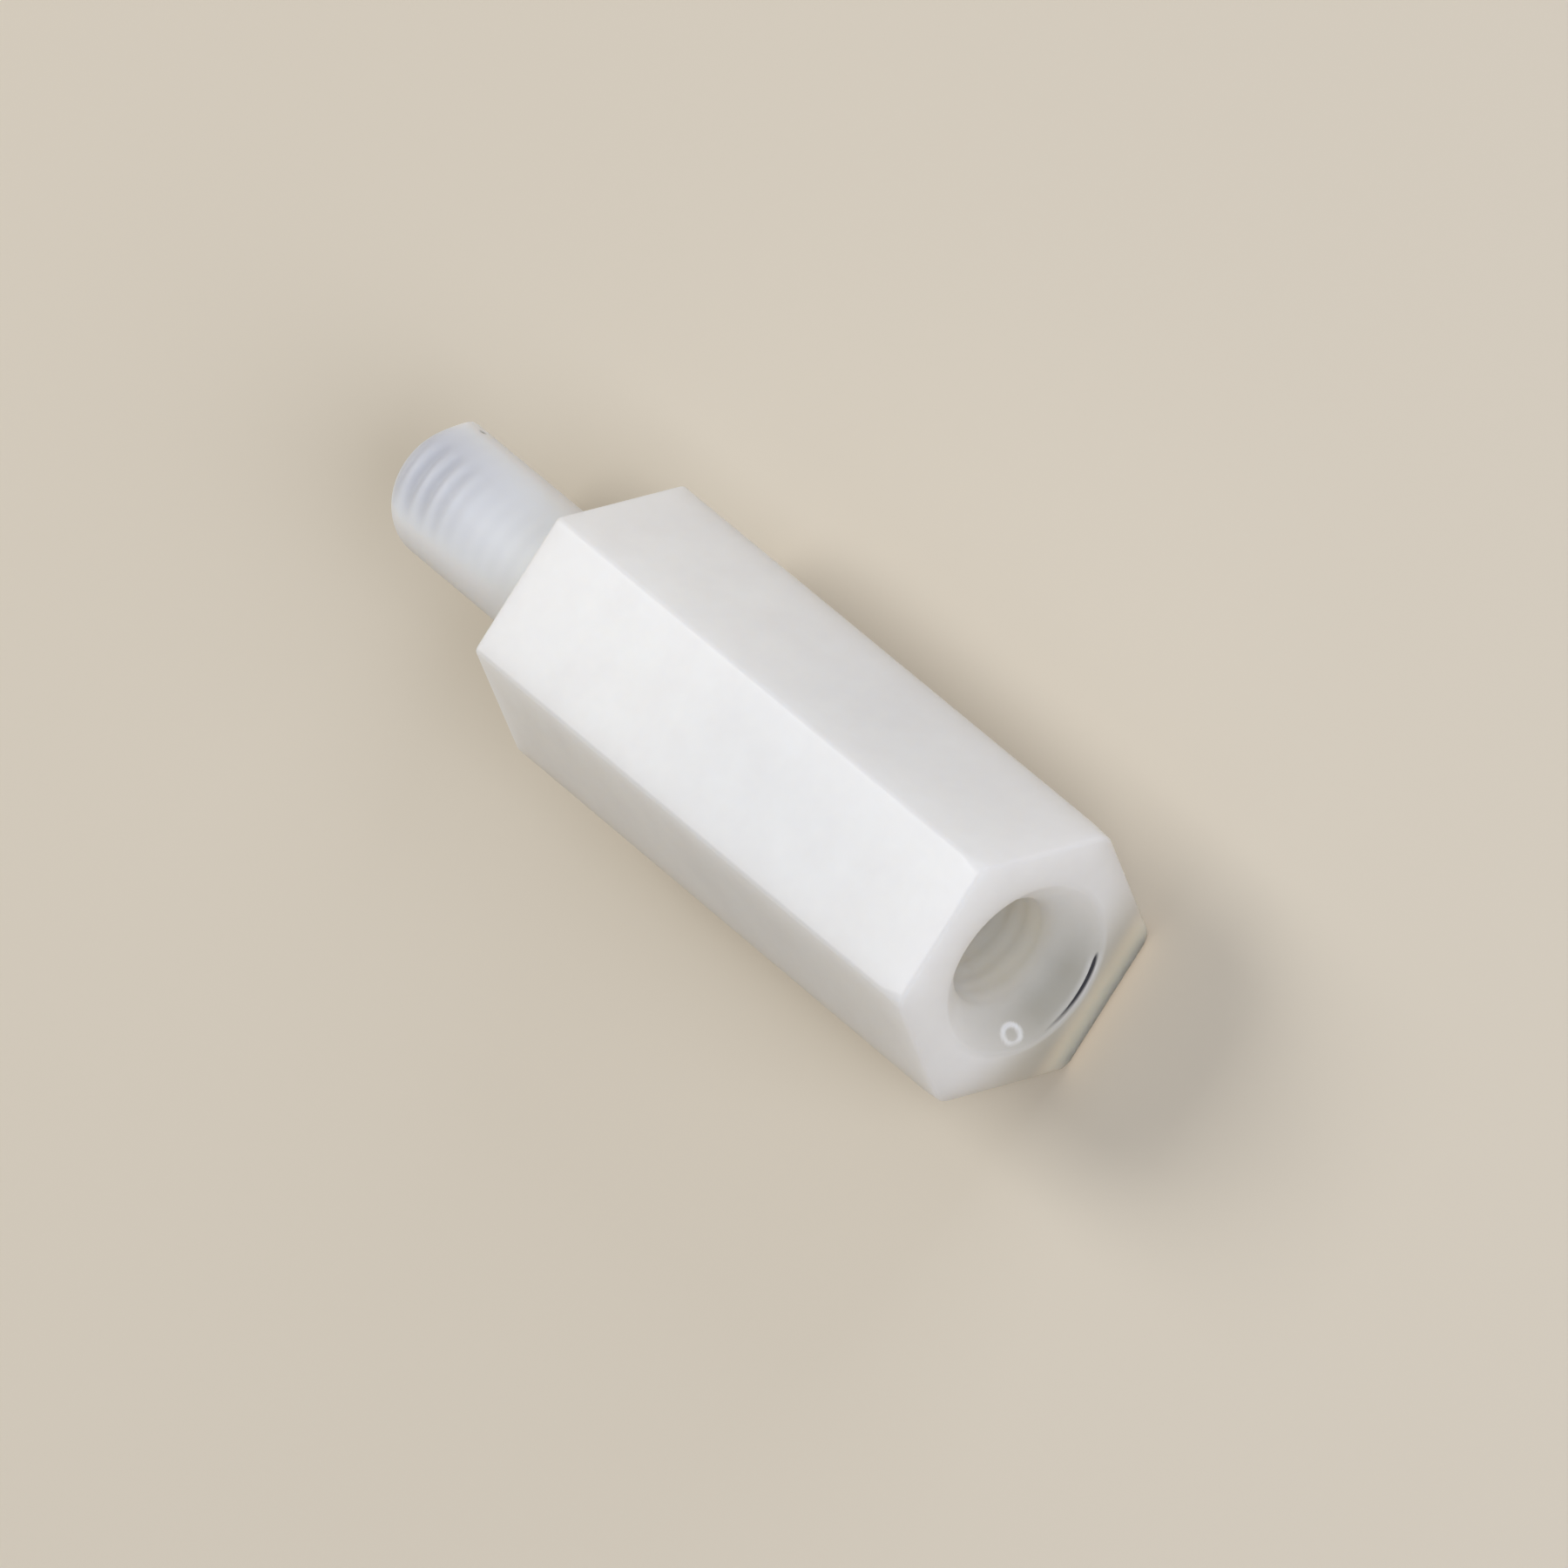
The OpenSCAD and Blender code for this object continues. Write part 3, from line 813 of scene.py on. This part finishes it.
def seen_share(tree):
    """Adds the nodes that say 1 where the camera, a reflection or glass sees a surface, and else 0."""
    path = add(tree, "ShaderNodeLightPath")
    camera, gloss, glass = (path[f"Is {kind} Ray"] for kind in ("Camera", "Glossy", "Transmission"))
    direct = add(tree, "ShaderNodeMath", camera, gloss, operation="MAXIMUM")[0]
    return add(tree, "ShaderNodeMath", direct, glass, operation="MAXIMUM")[0]


def floor_material(stage):
    """Matt painted board: an even pale surface with no shine."""
    material = bpy.data.materials.new("matt_painted_board")
    material.use_nodes = True
    tree = material.node_tree
    tree.nodes.clear()
    place = add(tree, "ShaderNodeTexCoord")["Object"]
    brush_width = 30 * MM
    brushed = add(tree, "ShaderNodeTexNoise", place, None, 1 / brush_width, 2.0, 0.5)[0]
    matt = (0.8, 0.9)
    rough = add(tree, "ShaderNodeMapRange", brushed, *NOISE_RANGE, *matt)[0]
    colours = {
        MIX_SHARE: seen_share(tree),
        MIX_UNDER: (*stage.bounce, 1),
        MIX_OVER: (*stage.floor, 1),
    }
    board = add(tree, "ShaderNodeMix", named=colours, data_type="RGBA")[MIXED]
    surface = add(tree, "ShaderNodeBsdfPrincipled", named={"Base Color": board, "Roughness": rough})[0]
    add(tree, "ShaderNodeOutputMaterial", surface)
    return material


class STANDOFF_OT_make_standoff(bpy.types.Operator):
    """Make the nylon standoff with its threads and finish"""

    bl_idname = "standoff.make_standoff"
    bl_label = "Make Standoff"

    def execute(self, context):
        size = context.scene.standoff_sizes
        nylon = nylon_material(context.scene.standoff_finish)
        skin = bpy.data.objects.new("standoff_skin", skin_mesh(size))
        context.scene.collection.objects.link(skin)
        sizes = surface_sizes(size)
        tree, keys = surface_tree(sizes)
        modifier = skin.modifiers.new("surface", "NODES")
        modifier.node_group = tree
        for name, value in {**sizes, "Nylon": nylon}.items():
            modifier[keys[name]] = value
        evaluated = skin.evaluated_get(context.evaluated_depsgraph_get())
        mesh = bpy.data.meshes.new_from_object(evaluated)
        bpy.data.objects.remove(skin)
        mesh.name = "nylon_standoff"
        piece = bpy.data.objects.new("nylon_standoff", mesh)
        context.scene.collection.objects.link(piece)
        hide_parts(NODE)
        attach(piece, BODY)
        return {"FINISHED"}


class STANDOFF_OT_make_stage(bpy.types.Operator):
    """Make the floor, the light and the camera"""

    bl_idname = "standoff.make_stage"
    bl_label = "Make Stage"

    def execute(self, context):
        stage = context.scene.standoff_stage
        context.scene.view_settings.view_transform = "Standard"
        self.make_floor(context, stage)
        self.make_light(context, stage)
        self.make_camera(context, stage)
        return {"FINISHED"}

    def make_floor(self, context, stage):
        """Lays a plain board under the part."""
        half, z = FLOOR_WIDTH / 2, LOW.z
        mesh = bpy.data.meshes.new("floor")
        corners = [(-half, -half, z), (half, -half, z), (half, half, z), (-half, half, z)]
        mesh.from_pydata(corners, [], [(0, 1, 2, 3)])
        mesh.materials.append(floor_material(stage))
        floor = bpy.data.objects.new("floor", mesh)
        context.scene.collection.objects.link(floor)

    def make_light(self, context, stage):
        """Makes the soft light from all round and hangs the three lamps."""
        world = bpy.data.worlds.new("soft_room")
        world.use_nodes = True
        tree = world.node_tree
        tree.nodes.clear()
        room = add(tree, "ShaderNodeBackground", (*stage.sky, 1), stage.sky_level)[0]
        backdrop = add(tree, "ShaderNodeBackground", (*stage.backdrop, 1), 1.0)[0]
        mixed = add(tree, "ShaderNodeMixShader", seen_share(tree), room, backdrop)[0]
        add(tree, "ShaderNodeOutputWorld", mixed)
        context.scene.world = world
        middle = Vector(((LOW.x + HIGH.x) / 2, 0, 0))
        white = (1, 1, 1)
        lamps = (
            ("back", stage.back_power, white),
            ("front", stage.front_power, stage.cool),
            ("side", stage.side_power, stage.cool),
        )
        for name, power, colour in lamps:
            light = bpy.data.lights.new(name, "AREA")
            light.energy = power
            light.color = colour
            light.size = LAMP_SIZE
            lamp = bpy.data.objects.new(name, light)
            lamp.location = middle + Vector(LAMP_PLACES[name]) * MM
            lamp.rotation_euler = (middle - lamp.location).to_track_quat("-Z", "Y").to_euler()
            # The front lamp lights without glare, which would whiten the top seen from behind
            lamp.visible_glossy = name != "front"
            context.scene.collection.objects.link(lamp)

    def make_camera(self, context, stage):
        """Points a camera at the part, turned, raised and rolled as the stage says."""
        turn, rise = stage.azimuth, stage.elevation
        level = math.cos(rise)
        back = Vector((math.sin(turn) * level, -math.cos(turn) * level, math.sin(rise)))
        right = Matrix.Rotation(-stage.roll, 3, back) @ Vector((math.cos(turn), math.sin(turn), 0))
        data = bpy.data.cameras.new("camera")
        data.lens = data.sensor_width * stage.distance / stage.view_width
        data.clip_start, data.clip_end = stage.distance / CLIP_RANGE, stage.distance * CLIP_RANGE
        camera = bpy.data.objects.new("camera", data)
        axes = Matrix((right, back.cross(right), back)).transposed()
        place = Vector(stage.target) + back * stage.distance
        camera.matrix_world = Matrix.Translation(place) @ axes.to_4x4()
        context.scene.collection.objects.link(camera)
        context.scene.camera = camera


class STANDOFF_PT_panel(bpy.types.Panel):
    """The standoff's sizes, finish and stage"""

    bl_idname = "STANDOFF_PT_panel"
    bl_label = "Hex Standoff"
    bl_space_type = "VIEW_3D"
    bl_region_type = "UI"
    bl_category = "Standoff"

    def draw(self, context):
        layout = self.layout
        layout.operator(STANDOFF_OT_make_standoff.bl_idname)
        layout.operator(STANDOFF_OT_make_stage.bl_idname)
        scene = context.scene
        for group in (scene.standoff_sizes, scene.standoff_finish, scene.standoff_stage):
            box = layout.box()
            for name in group.__annotations__:
                box.prop(group, name)


CLASSES = (
    StandoffSizes,
    StandoffFinish,
    StandoffStage,
    STANDOFF_OT_make_standoff,
    STANDOFF_OT_make_stage,
    STANDOFF_PT_panel,
)


def register():
    """Adds the standoff's settings, operators and panel."""
    for cls in CLASSES:
        bpy.utils.register_class(cls)
    bpy.types.Scene.standoff_sizes = PointerProperty(type=StandoffSizes)
    bpy.types.Scene.standoff_finish = PointerProperty(type=StandoffFinish)
    bpy.types.Scene.standoff_stage = PointerProperty(type=StandoffStage)


def unregister():
    """Takes them away again."""
    del bpy.types.Scene.standoff_stage
    del bpy.types.Scene.standoff_finish
    del bpy.types.Scene.standoff_sizes
    for cls in reversed(CLASSES):
        bpy.utils.unregister_class(cls)


def main():
    """Makes the standoff and its stage."""
    register()
    bpy.ops.standoff.make_standoff()
    bpy.ops.standoff.make_stage()


if __name__ == "__main__":
    main()
